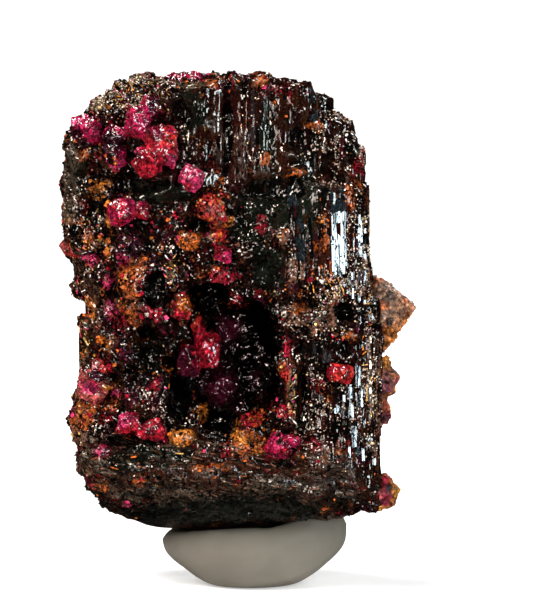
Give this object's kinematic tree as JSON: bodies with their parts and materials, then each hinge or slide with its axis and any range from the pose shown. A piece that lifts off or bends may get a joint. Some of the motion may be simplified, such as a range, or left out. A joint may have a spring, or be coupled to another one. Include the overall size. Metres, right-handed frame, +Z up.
{
  "type": "painite crystal specimen",
  "caption": "Stout upright painite crystal with ruby crystals grown on its rough front, striated columns at the right, a crystal-lined hollow, and a lump of display putty as its foot.",
  "frame": {"origin": "on the flat foot of the display putty, below the middle of the specimen's height axis", "axes": "+Z up along the crystal's length and its striations, -Y out of the rough front with the rubies and the hollow, +X towards the striated right side"},
  "size_m": [0.0212, 0.0173, 0.0311],
  "materials": {
    "painite": "gloss",
    "ruby": "gloss",
    "crust": "gloss",
    "matrix": "matte",
    "putty": "satin"
  },
  "bodies": {
    "root": {"painite_crystal": "painite", "cavity_crust": "crust", "ruby_shoulder_outer": "ruby", "ruby_shoulder_drop": "ruby", "ruby_shoulder_cluster": "ruby", "ruby_shoulder_tip": "ruby", "ruby_waist": "ruby", "ruby_left_edge": "ruby", "ruby_round": "ruby", "ruby_knob": "ruby", "ruby_cavity": "ruby", "ruby_column": "ruby", "ruby_ledge_left": "ruby", "ruby_ledge_right": "ruby", "ruby_flank": "ruby", "ruby_crown": "ruby", "matrix_upper": "matrix", "matrix_middle": "matrix", "matrix_foot": "matrix", "display_putty": "putty"}
  },
  "joints": []
}
